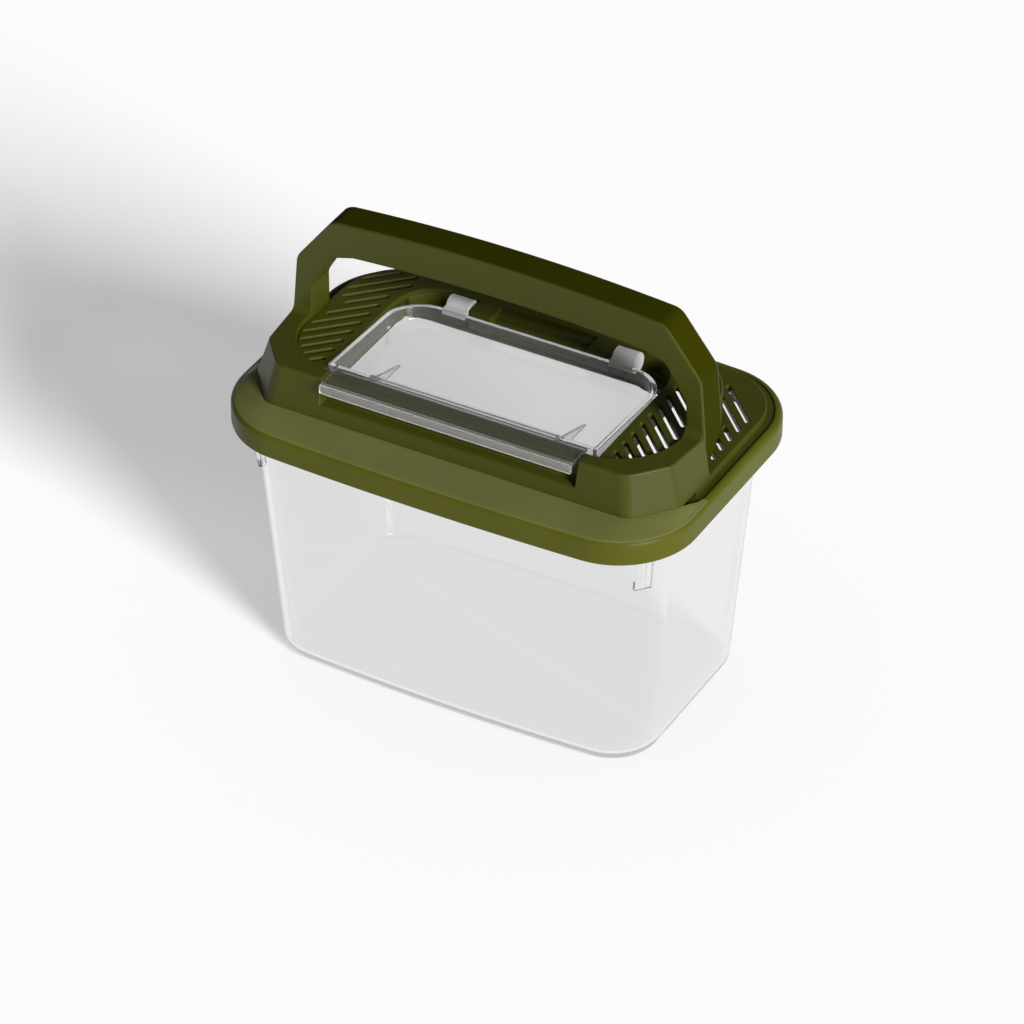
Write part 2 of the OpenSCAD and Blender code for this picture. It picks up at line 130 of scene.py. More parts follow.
def bowed(a, b, r, bow):
    """A rounded rectangle whose long sides bow out, from the front right corner on."""
    corners = [(a - r, r - b, 270), (a - r, b - r, 0), (r - a, b - r, 90), (r - a, r - b, 180)]
    path = []
    for k, (cx, cy, start) in enumerate(corners):
        path += arc(cx, cy, r, start, 90, CORNER_STEPS)
        next_x, next_y, next_start = corners[(k + 1) % 4]
        side_end = arc(next_x, next_y, r, next_start, 90, 1)[0]
        path += along(path[-1], side_end, LONG_SIDE_STEPS if k % 2 else SHORT_SIDE_STEPS)
    return [(x, y + math.copysign(bow * (1 - (x / a) ** 2), y)) for x, y in path]


def rounded_path(points, radii, steps=6):
    """The polygon with each corner turned into an arc of its own radius."""
    nearly_straight = math.radians(0.5)
    path = []
    count = len(points)
    for i, (point, r) in enumerate(zip(points, radii)):
        p = Vector(point)
        before = (Vector(points[i - 1]) - p).normalized()
        after = (Vector(points[(i + 1) % count]) - p).normalized()
        half = before.angle(after) / 2
        if r == 0 or abs(half - math.pi / 2) < nearly_straight:
            path.append(tuple(p))
            continue
        centre = p + (before + after).normalized() * (r / math.sin(half))
        reach = r / math.tan(half)
        start = p + before * reach - centre
        end = p + after * reach - centre
        turn = start.angle_signed(end)
        for k in range(steps + 1):
            t = -turn * k / steps
            spun_x = start.x * math.cos(t) - start.y * math.sin(t)
            spun_y = start.x * math.sin(t) + start.y * math.cos(t)
            path.append((centre.x + spun_x, centre.y + spun_y))
    return path


def nearest_on(path, x, y):
    """The point of a path that is nearest to a point."""
    best = None
    for p, q in zip(path, path[1:]):
        a, b = Vector(p), Vector(q)
        t = max(0, min(1, (Vector((x, y)) - a).dot(b - a) / (b - a).length_squared))
        point = a + (b - a) * t
        gap = (point - Vector((x, y))).length
        if best is None or gap < best[0]:
            best = (gap, (point.x, point.y))
    return best[1]


# Meshes. Cutting shapes stand out of what they cut by BEYOND
BEYOND = 1
DOUBLE_GAP = 0.002


def turn_out(mesh):
    """Turns all faces outward."""
    work = bmesh.new()
    work.from_mesh(mesh)
    bmesh.ops.recalc_face_normals(work, faces=work.faces)
    work.to_mesh(mesh)
    work.free()


def mesh_object(name, points, faces):
    mesh = bpy.data.meshes.new(name)
    mesh.from_pydata([Vector(p) * MM for p in points], [], faces)
    turn_out(mesh)
    obj = bpy.data.objects.new(name, mesh)
    bpy.context.scene.collection.objects.link(obj)
    return obj


def loft(name, rings, loop=False):
    """Skin over rings of points, closed by flat ends, or on itself where loop is true."""
    n = len(rings[0])
    points = [p for ring in rings for p in ring]
    faces = []
    for k in range(len(rings) if loop else len(rings) - 1):
        u = (k + 1) % len(rings)
        for i in range(n):
            j = (i + 1) % n
            faces.append((k * n + i, k * n + j, u * n + j, u * n + i))
    if not loop:
        faces.append(tuple(reversed(range(n))))
        faces.append(tuple((len(rings) - 1) * n + i for i in range(n)))
    return mesh_object(name, points, faces)


def at_height(outline, z):
    return [(x, y, z) for x, y in outline]


def rounded_rings(outline, z0, z1, r, steps=3):
    """Rings of a wall from z0 to z1 whose top edge is rounded. outline(d) is the outline moved in by d."""
    rings = [at_height(outline(0), z0)]
    for t in quarter(steps):
        rings.append(at_height(outline(r * (1 - math.cos(t))), z1 - r * (1 - math.sin(t))))
    return rings


def panel(name, skin, holes=()):
    """A plate with holes. The skin and each hole are rings of points, from the underside to the top."""
    points = []
    faces = []
    starts = []
    for stack in [skin, *holes]:
        n = len(stack[0])
        first = len(points)
        starts.append((first, first + (len(stack) - 1) * n, n))
        for ring in stack:
            points += ring
        for k in range(len(stack) - 1):
            for i in range(n):
                low = first + k * n
                j = (i + 1) % n
                faces.append((low + i, low + j, low + n + j, low + n + i))
    for side in (0, 1):
        loops = [[Vector(points[start[side] + i]) for i in range(start[2])] for start in starts]
        index = [start[side] + i for start in starts for i in range(start[2])]
        faces += [tuple(index[i] for i in triangle) for triangle in tessellate_polygon(loops)]
    return mesh_object(name, points, faces)


def prism(name, outline, z0, z1):
    return loft(name, [at_height(outline, z0), at_height(outline, z1)])


def end_prism(name, outline, x0, x1):
    """A prism along X, from an outline given in y and z."""
    return loft(name, [[(x0, y, z) for y, z in outline], [(x1, y, z) for y, z in outline]])


def block(name, x0, x1, y0, y1, z0, z1):
    return prism(name, [(x0, y0), (x1, y0), (x1, y1), (x0, y1)], z0, z1)


def settle(obj):
    """Applies the modifiers of an object."""
    depsgraph = bpy.context.evaluated_depsgraph_get()
    mesh = bpy.data.meshes.new_from_object(obj.evaluated_get(depsgraph))
    old = obj.data
    obj.modifiers.clear()
    obj.data = mesh
    bpy.data.meshes.remove(old)


def combine(obj, others, operation):
    for other in others:
        step = obj.modifiers.new("combine", "BOOLEAN")
        step.operation = operation
        step.solver = "EXACT"
        step.material_mode = "TRANSFER" if other.data.materials else "INDEX"
        step.object = other
        settle(obj)
        bpy.data.objects.remove(other)


def cut(obj, *others):
    combine(obj, others, "DIFFERENCE")


def fuse(obj, *others):
    combine(obj, others, "UNION")


def joined(name, objects):
    """One object from several, without a union."""
    work = bmesh.new()
    for obj in objects:
        work.from_mesh(obj.data)
        bpy.data.objects.remove(obj)
    mesh = bpy.data.meshes.new(name)
    work.to_mesh(mesh)
    work.free()
    result = bpy.data.objects.new(name, mesh)
    bpy.context.scene.collection.objects.link(result)
    return result


def mirrored(obj):
    """The object and its mirror image in x, as one object."""
    work = bmesh.new()
    work.from_mesh(obj.data)
    copy = bmesh.ops.duplicate(work, geom=work.verts[:] + work.edges[:] + work.faces[:])
    verts = [g for g in copy["geom"] if isinstance(g, bmesh.types.BMVert)]
    faces = [g for g in copy["geom"] if isinstance(g, bmesh.types.BMFace)]
    for vert in verts:
        vert.co.x = -vert.co.x
    bmesh.ops.reverse_faces(work, faces=faces)
    work.to_mesh(obj.data)
    work.free()
    return obj


def on_side(sign, near, far):
    """A span in x on the right, where sign is 1, or its mirror image on the left."""
    return sorted((sign * near, sign * far))


def clean(obj):
    """Merges doubled points."""
    work = bmesh.new()
    work.from_mesh(obj.data)
    bmesh.ops.remove_doubles(work, verts=work.verts, dist=DOUBLE_GAP * MM)
    work.to_mesh(obj.data)
    work.free()


def soften(obj, width, segments=3, angle=32):
    """Rounds the edges where the surface turns by more than the angle, in degrees."""
    clean(obj)
    step = obj.modifiers.new("round", "BEVEL")
    step.width = width * MM
    step.segments = segments
    step.limit_method = "ANGLE"
    step.angle_limit = math.radians(angle)
    step.use_clamp_overlap = False
    step.miter_outer = "MITER_ARC"
    settle(obj)


def smooth(obj, angle=35):
    """Smooth shading that keeps flat faces flat and edges over the angle sharp."""
    for face in obj.data.polygons:
        face.use_smooth = True
    obj.data.set_sharp_from_angle(angle=math.radians(angle))
    step = obj.modifiers.new("normals", "WEIGHTED_NORMAL")
    step.keep_sharp = True
    step.weight = 60
    settle(obj)


# Parts of materials
def new_material(name):
    material = bpy.data.materials.new(name)
    material.use_nodes = True
    tree = material.node_tree
    return material, tree.nodes, tree.links, tree.nodes["Principled BSDF"]


def noise(nodes, links, scale, detail):
    """Noise that is fixed to the object and changes over about 1 / scale metres."""
    coords = nodes.new("ShaderNodeTexCoord")
    cloud = nodes.new("ShaderNodeTexNoise")
    cloud.inputs["Scale"].default_value = scale
    cloud.inputs["Detail"].default_value = detail
    links.new(coords.outputs["Object"], cloud.inputs["Vector"])
    return cloud.outputs["Fac"]


def vary_gloss(nodes, links, shader, source, low, high):
    """Roughness between two values, as the source says."""
    gloss = nodes.new("ShaderNodeMapRange")
    gloss.inputs["To Min"].default_value = low
    gloss.inputs["To Max"].default_value = high
    links.new(source, gloss.inputs["Value"])
    links.new(gloss.outputs["Result"], shader.inputs["Roughness"])


def add_bump(nodes, links, shader, source, strength, depth):
    bump = nodes.new("ShaderNodeBump")
    bump.inputs["Strength"].default_value = strength
    bump.inputs["Distance"].default_value = depth * MM
    links.new(source, bump.inputs["Height"])
    links.new(bump.outputs["Normal"], shader.inputs["Normal"])


def either_of(nodes, links, first, second):
    """1 where one of two outputs is 1."""
    both = nodes.new("ShaderNodeMath")
    both.operation = "MAXIMUM"
    links.new(first, both.inputs[0])
    links.new(second, both.inputs[1])
    return both.outputs["Value"]


def mix_of(nodes, links, share, first, second):
    """The first shader, and the second one where the share is 1."""
    mix = nodes.new("ShaderNodeMixShader")
    links.new(share, mix.inputs["Fac"])
    links.new(first, mix.inputs[1])
    links.new(second, mix.inputs[2])
    return mix.outputs["Shader"]


# Materials
TONES = ((0.3, 0.95), (0.7, 1.05))
GLOSS_SPREAD = 0.04
CAUGHT_BOUNCES = 5.5
STRAIGHT_TINT = (0.68, 0.683, 0.683, 1)


def olive_plastic(name, colour, roughness, specular):
    """Satin moulded plastic with a fine spark-eroded grain."""
    material, nodes, links, shader = new_material(name)
    shader.inputs["Specular IOR Level"].default_value = specular
    cloud = noise(nodes, links, scale=55, detail=3)
    grain = noise(nodes, links, scale=2600, detail=2)
    tones = nodes.new("ShaderNodeValToRGB")
    for mark, (position, share) in zip(tones.color_ramp.elements, TONES):
        mark.position = position
        mark.color = (*[c * share for c in colour], 1)
    links.new(cloud, tones.inputs["Fac"])
    links.new(tones.outputs["Color"], shader.inputs["Base Color"])
    vary_gloss(nodes, links, shader, cloud, roughness - GLOSS_SPREAD, roughness + GLOSS_SPREAD)
    add_bump(nodes, links, shader, grain, strength=0.25, depth=0.02)
    return material


def clear_plastic(name, tint, roughness, clearness, ior):
    """Clear moulded plastic, which is seen refracting.

    Shadow and diffuse rays pass straight through it, a little dimmed, and so does light that is
    still caught in its walls after five bounces.
    """
    material, nodes, links, shader = new_material(name)
    shader.inputs["Base Color"].default_value = (*tint, 1)
    shader.inputs["Transmission Weight"].default_value = clearness
    shader.inputs["IOR"].default_value = ior
    flow = noise(nodes, links, scale=60, detail=1)
    vary_gloss(nodes, links, shader, flow, roughness, roughness * 2)
    add_bump(nodes, links, shader, flow, strength=0.05, depth=0.1)
    rays = nodes.new("ShaderNodeLightPath")
    caught = nodes.new("ShaderNodeMath")
    caught.operation = "GREATER_THAN"
    caught.inputs[1].default_value = CAUGHT_BOUNCES
    links.new(rays.outputs["Ray Depth"], caught.inputs[0])
    unseen = either_of(nodes, links, rays.outputs["Is Shadow Ray"], rays.outputs["Is Diffuse Ray"])
    passes = either_of(nodes, links, unseen, caught.outputs["Value"])
    straight = nodes.new("ShaderNodeBsdfTransparent")
    straight.inputs["Color"].default_value = STRAIGHT_TINT
    surface = mix_of(nodes, links, passes, shader.outputs["BSDF"], straight.outputs["BSDF"])
    links.new(surface, nodes["Material Output"].inputs["Surface"])
    return material


OLIVE = olive_plastic("olive_plastic", (0.06, 0.063, 0.005), roughness=0.42, specular=0.22)
# A lighter copy of the lid's olive for the skirt: painted light, for the light that the lower lid gets
OLIVE_RIM_PAINTED_LIGHT = olive_plastic("olive_rim_painted_light", (0.092, 0.096, 0.008), roughness=0.42, specular=0.12)
# A still lighter, greyer olive for the shoulder in front: a painted highlight
OLIVE_SHOULDER_PAINTED_HIGHLIGHT = olive_plastic("olive_shoulder_painted_highlight", (0.155, 0.16, 0.045), roughness=0.45, specular=0.4)
# A darker, rougher olive for the band along the arch's outer side
OLIVE_DARK_BAND = olive_plastic("olive_dark_band", (0.034, 0.036, 0.001), roughness=0.6, specular=0.01)
CLEAR_TANK = clear_plastic("clear_tank", (0.985, 0.987, 0.987), roughness=0.01, clearness=1, ior=1.46)
CLEAR_LUG = clear_plastic("clear_lug", (0.985, 0.988, 0.988), roughness=0.06, clearness=0.92, ior=1.15)
CLEAR_DOOR = clear_plastic("clear_door", (0.81, 0.812, 0.81), roughness=0.015, clearness=0.96, ior=1.46)
CLEAR_LIP = clear_plastic("clear_lip", (0.93, 0.93, 0.94), roughness=0.14, clearness=0.88, ior=1.46)
CLEAR_CLIP = clear_plastic("clear_clip", (0.97, 0.975, 0.97), roughness=0.12, clearness=0.22, ior=1.46)


def place(obj, material, body, slot, *nodes):
    """Hands a finished piece to the frame, in place of its CAD nodes."""
    smooth(obj)
    if not obj.data.materials:
        obj.data.materials.append(material)
    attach(obj, body)
    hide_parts(*nodes)


# Outlines of the lid and its plateau, from the frame's own size
SIDE_BOW = 2.3
LID_R = 23.5
PLATEAU_R = 20
PLATEAU_WALL = 0.8


def lid_plan(inset):
    return bowed(LID_A - inset, LID_B - SIDE_BOW - inset, LID_R - inset, SIDE_BOW)


def plateau_plan(out=0.0):
    return rounded_box(-PLATEAU_X - out, PLATEAU_X + out, PLATEAU_FRONT - out, PLATEAU_BACK + out,
                       PLATEAU_R + out, steps=24)


# Tank
TANK_WALL = 1.8
TANK_INSET = 6.4
TANK_DRAFT = 6.3
TANK_R_DROP = 2.9
BASE_R = 3.5
BASE_STEPS = 8
RIM_INSET = 2.6
RIM_H = 3
RIM_SLOPE = 1.5
LUG_W = 5.5
LUG_OUT = 2.4
LUG_DROP = 17
LUG_THINNING = 3
LUG_TURN = math.radians(40)


def tank_ring(inset, z):
    """The tank's outline at a height, moved in by the inset. It narrows towards the floor."""
    low = 1 - z / TANK_TOP
    depth = TANK_INSET + TANK_DRAFT * low + inset
    r = LID_R - TANK_INSET - TANK_R_DROP * low - inset
    return at_height(bowed(LID_A - depth, LID_B - SIDE_BOW - depth, r, SIDE_BOW), z)


def rounded_base(wall, z, r):
    """Rings of the lower edge, from the floor up."""
    return [tank_ring(wall + r * (1 - math.sin(t)), z + r * (1 - math.cos(t))) for t in quarter(BASE_STEPS)]


def tank_lug(side_x, side_y):
    """A rib on a corner of the tank, under the rim, which thins out towards its foot."""
    out = LID_R - TANK_INSET + LUG_OUT
    foot = TANK_TOP - RIM_H - LUG_DROP
    rib = block("lug", LID_R / 2, out, -LUG_W / 2, LUG_W / 2, foot, TANK_TOP - RIM_H / 2)
    for vert in rib.data.vertices:
        at_foot = vert.co.z < (foot + 1) * MM
        outside = vert.co.x > (out - 1) * MM
        if at_foot and outside:
            vert.co.x -= LUG_THINNING * MM
        x = vert.co.x * math.cos(LUG_TURN) - vert.co.y * math.sin(LUG_TURN)
        y = vert.co.x * math.sin(LUG_TURN) + vert.co.y * math.cos(LUG_TURN)
        vert.co.x = side_x * (x + (LID_A - LID_R) * MM)
        vert.co.y = side_y * (y + (LID_B - SIDE_BOW - LID_R) * MM)
    turn_out(rib.data)
    rib.data.materials.append(CLEAR_LUG)
    return rib


def make_tank():
    rim_low = TANK_TOP - RIM_H
    outer = rounded_base(0, 0, BASE_R) + [
        tank_ring(0, rim_low - RIM_SLOPE),
        at_height(lid_plan(RIM_INSET), rim_low),
        at_height(lid_plan(RIM_INSET), TANK_TOP)]
    tank = loft("tank_shell", outer)
    tank.data.materials.append(CLEAR_TANK)
    fuse(tank, *[tank_lug(sx, sy) for sx in (-1, 1) for sy in (-1, 1)])
    inner = rounded_base(TANK_WALL, TANK_WALL, BASE_R - TANK_WALL / 2)
    cut(tank, loft("hollow", inner + [tank_ring(TANK_WALL, TANK_TOP + BEYOND)]))
    soften(tank, 0.3, segments=2, angle=40)
    place(tank, CLEAR_TANK, "tank", "clear_tank", "tank")


# Slots, each along a line where x + y is the same. They are numbered along x + y
SLOT_W = 1.5
SLOT_PITCH = 5.25
SHORTEST_SLOT = 2
LOW_SLOTS = range(4, 9)
LOW_SLOT_PHASE = 47.8
LOW_SLOT_START = 54
LOW_SLOT_GAP = 0.4
LOW_SLOT_MARGIN = 2.6
UPPER_SLOTS = range(-4, 7)
UPPER_SLOT_PHASE = 46.6
UPPER_SLOT_MARGIN = 1.7
UPPER_SLOT_BACK = 27
DECK_INSET = 4.7
DOOR_GAP = 0.7
POCKET_X = DOOR_X + DOOR_GAP
POCKET_BACK = lug_high.y
POCKET_R = 13.7
POCKET_BAND = 3.2


def slot_outline(total, x0, x1, out=0.0):
    """A round-ended slot along the line where x + y is the given total."""
    r = SLOT_W / 2 + out
    return arc(x0, total - x0, r, 45, 180, 8) + arc(x1, total - x1, r, 225, 180, 8)


def slot_stacks(spans, z0, z1, edge=0.25):
    """The walls of the slots and of their mirror images, widened at the top by a rounded edge."""
    stacks = []
    for total, x0, x1 in spans:
        rings = rounded_rings(lambda d: slot_outline(total, x0, x1, d), z0, z1, edge)
        stacks.append(rings)
        stacks.append([[(-x, y, z) for x, y, z in ring] for ring in rings])
    return stacks


def chord(total, cx, cy, r):
    """Where that line meets a circle: the middle of the chord in x, and half of it."""
    off = total - cx - cy
    return cx + off / 2, math.sqrt(max(0, 2 * r * r - off * off)) / 2


def low_slots():
    """The slots in the deck: the total of x and y along each, and its two ends in x."""
    cx = PLATEAU_X - PLATEAU_R
    cy = PLATEAU_BACK - PLATEAU_R
    side_x = PLATEAU_X + SLOT_W / 2 + LOW_SLOT_GAP
    x1 = LID_A - DECK_INSET - LOW_SLOT_MARGIN - SLOT_W / 2
    spans = []
    for k in LOW_SLOTS:
        total = LOW_SLOT_PHASE + k * SLOT_PITCH
        middle, half = chord(total, cx, cy, side_x - cx)
        if total - side_x < cy:
            x0 = side_x
        elif half > 0:
            x0 = middle + half
        else:
            x0 = LOW_SLOT_START
        if x1 - x0 > SHORTEST_SLOT:
            spans.append((total, x0, x1))
    return spans


def upper_slots():
    """The slots in the plateau, given in the same way."""
    cx = PLATEAU_X - PLATEAU_R
    front_y = PLATEAU_FRONT + PLATEAU_R
    back_y = PLATEAU_BACK - PLATEAU_R
    outer_x = PLATEAU_X - UPPER_SLOT_MARGIN - SLOT_W / 4
    inner_x = POCKET_X + POCKET_BAND
    pocket_y = POCKET_BACK - POCKET_R
    spans = []
    for k in UPPER_SLOTS:
        total = UPPER_SLOT_PHASE + k * SLOT_PITCH
        middle, half = chord(total, cx, front_y, PLATEAU_R - UPPER_SLOT_MARGIN)
        x1 = min(outer_x, middle + half)
        if total - outer_x > back_y:
            middle, half = chord(total, cx, back_y, PLATEAU_R - UPPER_SLOT_MARGIN)
            x1 = min(x1, middle + half)
        middle, half = chord(total, POCKET_X - POCKET_R, pocket_y, POCKET_R + POCKET_BAND)
        x0 = min(inner_x, middle + half) if total - inner_x > pocket_y else inner_x
        x0 = max(x0, total - UPPER_SLOT_BACK)
        if x1 - x0 > SHORTEST_SLOT:
            spans.append((total, x0, x1))
    return spans


# Lid
SKIRT_WALL = 2.2
SKIRT_LOW_R = 0.5
SKIRT_LOW_CUT = 0.12
RIM_R = 2.1
RIM_TURNS = [math.radians(10 * i) for i in range(9)]
TRENCH_Z = SKIRT_TOP - 0.5
SHOULDER_Y = -15
SHOULDER_RUN = 10
SHOULDER_STEPS = 7
SHOULDER_BULGE = 0.35
# How many bands of the rounding, and how little shoulder, get the painted highlight
PAINTED_HIGHLIGHT_BANDS = 3
LEAST_PAINTED_HIGHLIGHT = 0.02
CROWN_END = HANDLE_FRONT + 0.4
# How far a plate runs into the plateau's wall
TUCK = 0.2


def crown_outline(left):
    """The crown's outline from its left end round the front to its right end."""
    return rounded_path(left + [(-x, y) for x, y in reversed(left)], [0, 4, 6, 6, 4, 0])


CROWN_FOOT = crown_outline([(-70.1, CROWN_END), (-70.3, -24.3), (-59.85, -37.1)])
CROWN_TOP = crown_outline([(-68.1, CROWN_END), (-66.4, -22.9), (-57.4, -33.6)])
CROWN_FOOT_LINE = [(-70.3, SHOULDER_Y)] + CROWN_FOOT[1:-1] + [(70.3, SHOULDER_Y)]


def shoulder_share(y):
    """How much of the shoulder stands at a place: none at the back, all in front, with a soft start."""
    t = max(0, min(1, (SHOULDER_Y - y) / SHOULDER_RUN))
    return t * t * (3 - 2 * t)


def make_lid_rim():
    """The skirt, whose top runs up to the crown's foot in front as a sloping shoulder. The skirt has a
    lighter olive as painted light, and the shoulder a lighter, greyer one as a painted highlight.
    """
    edge = [(SKIRT_LOW_R, SKIRT_BOTTOM), (SKIRT_LOW_CUT, SKIRT_BOTTOM + SKIRT_LOW_CUT),
            (0, SKIRT_BOTTOM + SKIRT_LOW_R)]
    top = [(RIM_R * (1 - math.cos(t)), SKIRT_TOP - RIM_R * (1 - math.sin(t))) for t in RIM_TURNS]
    rings = [at_height(lid_plan(d), z) for d, z in edge + top]
    start_d, start_z = top[-1]
    begin = lid_plan(start_d)
    inner = lid_plan(SKIRT_WALL)
    shares = [shoulder_share(y) for x, y in begin]
    feet = [nearest_on(CROWN_FOOT_LINE, x, y) for x, y in begin]
    end_z = DECK_Z + 0.1
    for s in range(1, SHOULDER_STEPS + 1):
        t = s / SHOULDER_STEPS
        rise = SHOULDER_BULGE * math.sin(t * math.pi / 2) + (1 - SHOULDER_BULGE) * t
        ring = []
        for (x, y), rail, foot, share in zip(begin, inner, feet, shares):
            end_x = rail[0] + (foot[0] - rail[0]) * share
            end_y = rail[1] + (foot[1] - rail[1]) * share
            z = start_z + (end_z - start_z) * rise * share
            ring.append((x + (end_x - x) * t, y + (end_y - y) * t, z))
        rings.append(ring)
    under = TANK_TOP + 0.3
    rings.append([(x, y, under if share else z) for (x, y, z), share in zip(rings[-1], shares)])
    rings.append([(*p, under if share else start_z) for p, share in zip(inner, shares)])
    rings.append(at_height(inner, SKIRT_BOTTOM))
    rim = loft("lid_rim", rings, loop=True)
    rim.data.materials.append(OLIVE_RIM_PAINTED_LIGHT)
    rim.data.materials.append(OLIVE_SHOULDER_PAINTED_HIGHLIGHT)
    count = len(begin)
    # The shoulder and the last bands of the rounding above it get the painted highlight, wherever a
    # shoulder stands
    first_band = len(edge + top) - 1
    for k in range(first_band - PAINTED_HIGHLIGHT_BANDS, first_band + SHOULDER_STEPS):
        for i in range(count):
            if max(shares[i], shares[(i + 1) % count]) > LEAST_PAINTED_HIGHLIGHT:
                rim.data.polygons[k * count + i].material_index = 1
    clean(rim)
    place(rim, OLIVE_RIM_PAINTED_LIGHT, "lid", "olive_plastic", "lid_skirt")


def deck_outline(d):
    """The deck behind the shoulder, round the back of the plateau, moved in by d."""
    side = LID_A - DECK_INSET
    hole_x = PLATEAU_X - TUCK
    back_half = [(x, y) for (x, y), (_, full_y) in zip(lid_plan(DECK_INSET + d), lid_plan(DECK_INSET))
                 if full_y > 1]
    r = PLATEAU_R - TUCK + d
    x = hole_x - PLATEAU_R + TUCK
    back_y = PLATEAU_BACK - PLATEAU_R
    front_y = SHOULDER_Y + d
    inner = arc(-x, back_y, r, 180, -90, CORNER_STEPS) + arc(x, back_y, r, 90, -90, CORNER_STEPS)
    return ([(side - d, front_y)] + back_half + [(-side + d, front_y), (-hole_x - d, front_y)] + inner
            + [(hole_x + d, front_y)])


def make_lid_deck():
    """The trench, the deck with its slots at the back, and the plate under the crown in front."""
    overlap = 2
    trench_low = TANK_TOP + 0.1
    outer, inner = lid_plan(overlap), lid_plan(DECK_INSET + overlap)
    trench = loft("trench", [at_height(outer, trench_low), at_height(outer, TRENCH_Z),
                             at_height(inner, TRENCH_Z), at_height(inner, trench_low)], loop=True)
    deck_low = TRENCH_Z - 0.1
    skin = rounded_rings(deck_outline, deck_low, DECK_Z, 0.6)
    pad = panel("pad", skin, slot_stacks(low_slots(), deck_low, DECK_Z))
    front_inset = 2.1
    front_y = PLATEAU_FRONT + PLATEAU_R
    outer = [p for p in lid_plan(front_inset) if p[1] < front_y]
    outer.sort(key=lambda p: math.atan2(p[0], -p[1]))
    x = PLATEAU_X - PLATEAU_R
    r = PLATEAU_R - TUCK
    inner = arc(x, front_y, r, 0, -90, CORNER_STEPS) + arc(-x, front_y, r, 270, -90, CORNER_STEPS)
    end = LID_A - front_inset
    outline = [(-end, front_y)] + outer + [(end, front_y)] + inner
    front = panel("front", [at_height(outline, TANK_TOP + 0.2), at_height(outline, deck_low)])
    plate = joined("lid_deck_plate", [trench, pad, front])
    place(plate, OLIVE, "lid", "olive_plastic", "lid_deck")


def pocket_plan(out=0.0):
    """The door's opening: square in front and round at the back."""
    x, y0, y1 = POCKET_X + out, PLATEAU_FRONT + PLATE_T - out, POCKET_BACK + out
    r = POCKET_R + out
    back = arc(x - r, y1 - r, r, 0, 90, CORNER_STEPS) + arc(r - x, y1 - r, r, 90, 90, CORNER_STEPS)
    return [(x, y0)] + back + [(-x, y0)]


def make_plateau():
    """The raised plate with its slots and the door's opening, and the wall under its edge."""
    under = PLATEAU_Z - PLATE_T
    foot = DECK_Z - 1.5
    inside = plateau_plan(-PLATEAU_WALL)
    skin = [at_height(inside, under), at_height(inside, foot)]
    skin += rounded_rings(lambda d: plateau_plan(-d), foot, PLATEAU_Z, 0.45)
    pocket = rounded_rings(pocket_plan, under, PLATEAU_Z, 0.3)
    plateau = panel("lid_plateau", skin, [pocket] + slot_stacks(upper_slots(), under, PLATEAU_Z))
    place(plateau, OLIVE, "lid", "olive_plastic", "grille_plate", "plateau_wall")


# Crown and handle, which flow into each other
NOTCH_X = 42
NOTCH_DEPTH = 8
NOTCH_WALL = 3
BEAM_X = 54.6
BEAM_BOW = 2.4
BEAM_H = 10.4
BEAM_STEPS = 12
LEG_T = 6.3
LEG_LEAN = 1.5
FOOT_DEPTH = 0.5
FOOT_SLANT = 9.5
CHAMFER_DROP = 15.5
# The share of an inset by which the chamfer's corners move
CHAMFER_SHARE = 0.4
# The inner corner, from the leg and the beam's underside
CORNER_RUN = 14.5
CORNER_LOW = 14
CORNER_KNEE = (7, 2.2)
FLARE = 2.5
# The handle's front edge: how far behind the front face, and how far in
HANDLE_EDGE = [(0, 0.6), (0.18, 0.18), (0.6, 0), (0.75, 0)]


def beam_rise(x):
    """How far the beam stands higher than its ends."""
    return BEAM_BOW * (1 - (x / BEAM_X) ** 2)


def beam_points(x):
    """Places along the beam from x to its mirror image."""
    return [x * (1 - i / BEAM_STEPS) for i in range(2 * BEAM_STEPS + 1)]


def beam_radii(side):
    """The corner radii of one side, of the beam's own points and of the other side."""
    return side + [0] * (2 * BEAM_STEPS - 1) + side[::-1]


def handle_outline(inset):
    """The arch seen from the front, as its outer and its inner path, thinned all round by the inset."""
    end_z = HANDLE_TOP - BEAM_BOW
    top_x = BEAM_X - CHAMFER_SHARE * inset
    out_x = HANDLE_X - inset
    in_x = HANDLE_X - LEG_T + inset
    low_x = in_x - CORNER_RUN
    under = end_z - BEAM_H + inset
    right = [(out_x, DECK_Z - FOOT_DEPTH), (out_x, CROWN_Z),
             (out_x - LEG_LEAN, end_z - CHAMFER_DROP - CHAMFER_SHARE * inset)]
    top = [(x, end_z - inset + beam_rise(x)) for x in beam_points(top_x)]
    below = [(x, under + beam_rise(x) - beam_rise(low_x)) for x in beam_points(-low_x)]
    left_in = [(-in_x, PLATEAU_Z - FOOT_DEPTH), (-in_x, under - CORNER_LOW),
               (CORNER_KNEE[0] - in_x, under - CORNER_KNEE[1])]
    outer = right + top + [(-x, z) for x, z in reversed(right)]
    inner = left_in + below + [(-x, z) for x, z in reversed(left_in)]
    return rounded_path(outer, beam_radii([0, 8, 6, 5])), rounded_path(inner, beam_radii([0, 5, 5, 8]))


def make_crown():
    """The cover round the front half of the plateau, with its finger notch."""
    crown = loft("crown_cover", [at_height(CROWN_FOOT, DECK_Z - 0.6), at_height(CROWN_TOP, CROWN_Z)])
    notch_back = PLATEAU_FRONT - NOTCH_WALL
    notch_z = CROWN_Z - NOTCH_DEPTH
    cut(crown, prism("plateau", plateau_plan(), 0, HANDLE_TOP))
    cut(crown, block("notch", -NOTCH_X, NOTCH_X, -LID_B, notch_back, notch_z, HANDLE_TOP))
    cut(crown, block("gap", -NOTCH_X, NOTCH_X, -LID_B, 0, PLATEAU_Z, HANDLE_TOP))
    soften(crown, 0.5)
    place(crown, OLIVE, "lid", "olive_plastic", "crown")


